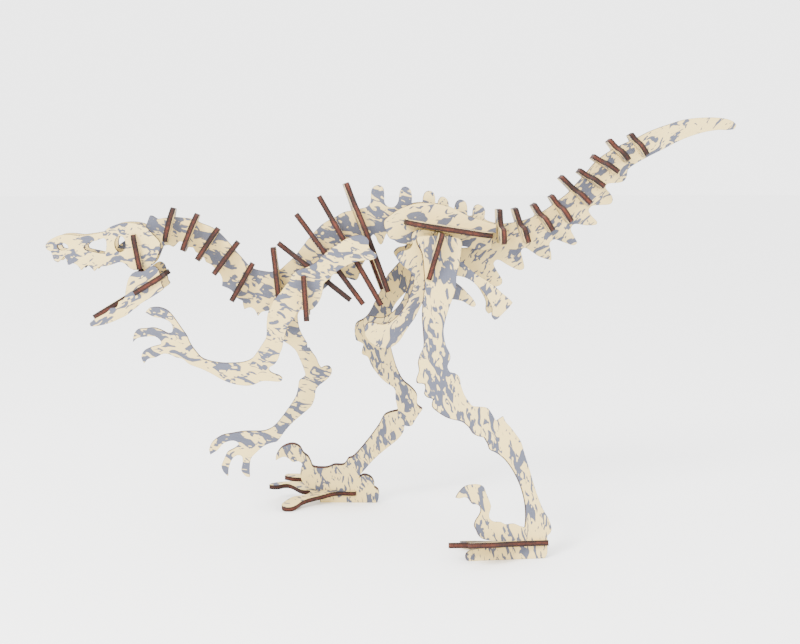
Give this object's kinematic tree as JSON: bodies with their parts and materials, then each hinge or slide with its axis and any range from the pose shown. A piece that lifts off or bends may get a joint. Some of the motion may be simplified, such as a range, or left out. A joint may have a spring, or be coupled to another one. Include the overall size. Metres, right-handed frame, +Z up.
{
  "type": "wooden dinosaur skeleton puzzle",
  "caption": "Slot-together plywood skeleton of a running two-legged dinosaur, printed boards crossing at half-depth slots.",
  "frame": {"origin": "centre of the footprint box, on the surface the feet stand on", "axes": "+X from nose to tail, +Y to the animal's left, +Z up"},
  "size_m": [0.387, 0.1675, 0.237],
  "materials": {
    "plywood": "printed plywood, cream with grey-blue camouflage, charred brown cut edges"
  },
  "bodies": {
    "spine_and_legs": {"spine_front": "plywood", "rib_1": "plywood", "skull_crosspiece": "plywood", "jaw_tongue": "plywood", "shoulder_crosspiece": "plywood", "hip_plate": "plywood", "hip_crosspiece": "plywood", "ilium_left": "plywood", "ilium_right": "plywood", "leg_left": "plywood", "leg_right": "plywood", "foot_left": "plywood", "foot_right": "plywood"},
    "tail": {"tail_spine": "plywood"},
    "skull_left": {"skull_left": "plywood"},
    "jaw_left": {"jaw_left": "plywood"},
    "skull_right": {"skull_right": "plywood"},
    "jaw_right": {"jaw_right": "plywood"},
    "neck_vertebra_1": {"neck_vertebra_1": "plywood"},
    "neck_vertebra_2": {"neck_vertebra_2": "plywood"},
    "neck_vertebra_3": {"neck_vertebra_3": "plywood"},
    "neck_vertebra_4": {"neck_vertebra_4": "plywood"},
    "neck_vertebra_5": {"neck_vertebra_5": "plywood"},
    "rib_2": {"rib_2": "plywood"},
    "rib_3": {"rib_3": "plywood"},
    "rib_4": {"rib_4": "plywood"},
    "rib_5": {"rib_5": "plywood"},
    "arm_left": {"arm_left": "plywood"},
    "arm_right": {"arm_right": "plywood"},
    "pubis_left": {"pubis_left": "plywood"},
    "pubis_right": {"pubis_right": "plywood"},
    "tail_vertebra_1": {"tail_vertebra_1": "plywood"},
    "tail_vertebra_2": {"tail_vertebra_2": "plywood"},
    "tail_vertebra_3": {"tail_vertebra_3": "plywood"},
    "tail_vertebra_4": {"tail_vertebra_4": "plywood"},
    "tail_vertebra_5": {"tail_vertebra_5": "plywood"},
    "tail_vertebra_6": {"tail_vertebra_6": "plywood"},
    "tail_vertebra_7": {"tail_vertebra_7": "plywood"},
    "tail_vertebra_8": {"tail_vertebra_8": "plywood"},
    "tail_vertebra_9": {"tail_vertebra_9": "plywood"}
  },
  "joints": [
    {"name": "tail_slide", "type": "slide", "parent": "spine_and_legs", "child": "tail", "axis": [0.9877, 0, -0.1567], "range_m": [0, 0.01]},
    {"name": "skull_left_slide", "type": "slide", "parent": "spine_and_legs", "child": "skull_left", "axis": [-0.175, 0, 0.9846], "range_m": [0, 0.011]},
    {"name": "jaw_left_slide", "type": "slide", "parent": "spine_and_legs", "child": "jaw_left", "axis": [-0.8558, 0, -0.5174], "range_m": [0, 0.011]},
    {"name": "skull_right_slide", "type": "slide", "parent": "spine_and_legs", "child": "skull_right", "axis": [-0.175, 0, 0.9846], "range_m": [0, 0.011]},
    {"name": "jaw_right_slide", "type": "slide", "parent": "spine_and_legs", "child": "jaw_right", "axis": [-0.8558, 0, -0.5174], "range_m": [0, 0.011]},
    {"name": "neck_vertebra_1_slide", "type": "slide", "parent": "spine_and_legs", "child": "neck_vertebra_1", "axis": [0.2401, 0, 0.9708], "range_m": [0, 0.01]},
    {"name": "neck_vertebra_2_slide", "type": "slide", "parent": "spine_and_legs", "child": "neck_vertebra_2", "axis": [0.3769, 0, 0.9263], "range_m": [0, 0.01]},
    {"name": "neck_vertebra_3_slide", "type": "slide", "parent": "spine_and_legs", "child": "neck_vertebra_3", "axis": [0.5569, 0, 0.8306], "range_m": [0, 0.01]},
    {"name": "neck_vertebra_4_slide", "type": "slide", "parent": "spine_and_legs", "child": "neck_vertebra_4", "axis": [0.6056, 0, 0.7957], "range_m": [0, 0.01]},
    {"name": "neck_vertebra_5_slide", "type": "slide", "parent": "spine_and_legs", "child": "neck_vertebra_5", "axis": [0.4961, 0, 0.8682], "range_m": [0, 0.01]},
    {"name": "rib_2_slide", "type": "slide", "parent": "spine_and_legs", "child": "rib_2", "axis": [-0.7793, 0, 0.6266], "range_m": [0, 0.012]},
    {"name": "rib_3_slide", "type": "slide", "parent": "spine_and_legs", "child": "rib_3", "axis": [-0.5909, 0, 0.8067], "range_m": [0, 0.012]},
    {"name": "rib_4_slide", "type": "slide", "parent": "spine_and_legs", "child": "rib_4", "axis": [-0.4938, 0, 0.8696], "range_m": [0, 0.012]},
    {"name": "rib_5_slide", "type": "slide", "parent": "spine_and_legs", "child": "rib_5", "axis": [-0.344, 0, 0.939], "range_m": [0, 0.012]},
    {"name": "arm_left_slide", "type": "slide", "parent": "spine_and_legs", "child": "arm_left", "axis": [-0.059, 0, 0.9983], "range_m": [0, 0.01]},
    {"name": "arm_right_slide", "type": "slide", "parent": "spine_and_legs", "child": "arm_right", "axis": [-0.059, 0, 0.9983], "range_m": [0, 0.01]},
    {"name": "pubis_left_slide", "type": "slide", "parent": "spine_and_legs", "child": "pubis_left", "axis": [-0.2898, 0, -0.9571], "range_m": [0, 0.01]},
    {"name": "pubis_right_slide", "type": "slide", "parent": "spine_and_legs", "child": "pubis_right", "axis": [-0.2898, 0, -0.9571], "range_m": [0, 0.01]},
    {"name": "tail_vertebra_1_slide", "type": "slide", "parent": "tail", "child": "tail_vertebra_1", "axis": [-0.0425, 0, 0.9991], "range_m": [0, 0.006]},
    {"name": "tail_vertebra_2_slide", "type": "slide", "parent": "tail", "child": "tail_vertebra_2", "axis": [-0.3024, 0, 0.9532], "range_m": [0, 0.006]},
    {"name": "tail_vertebra_3_slide", "type": "slide", "parent": "tail", "child": "tail_vertebra_3", "axis": [-0.53, 0, 0.848], "range_m": [0, 0.006]},
    {"name": "tail_vertebra_4_slide", "type": "slide", "parent": "tail", "child": "tail_vertebra_4", "axis": [-0.5601, 0, 0.8284], "range_m": [0, 0.006]},
    {"name": "tail_vertebra_5_slide", "type": "slide", "parent": "tail", "child": "tail_vertebra_5", "axis": [-0.7118, 0, 0.7024], "range_m": [0, 0.006]},
    {"name": "tail_vertebra_6_slide", "type": "slide", "parent": "tail", "child": "tail_vertebra_6", "axis": [-0.8159, 0, 0.5782], "range_m": [0, 0.006]},
    {"name": "tail_vertebra_7_slide", "type": "slide", "parent": "tail", "child": "tail_vertebra_7", "axis": [-0.8231, 0, 0.5679], "range_m": [0, 0.006]},
    {"name": "tail_vertebra_8_slide", "type": "slide", "parent": "tail", "child": "tail_vertebra_8", "axis": [-0.648, 0, 0.7616], "range_m": [0, 0.006]},
    {"name": "tail_vertebra_9_slide", "type": "slide", "parent": "tail", "child": "tail_vertebra_9", "axis": [-0.5482, 0, 0.8363], "range_m": [0, 0.006]}
  ]
}
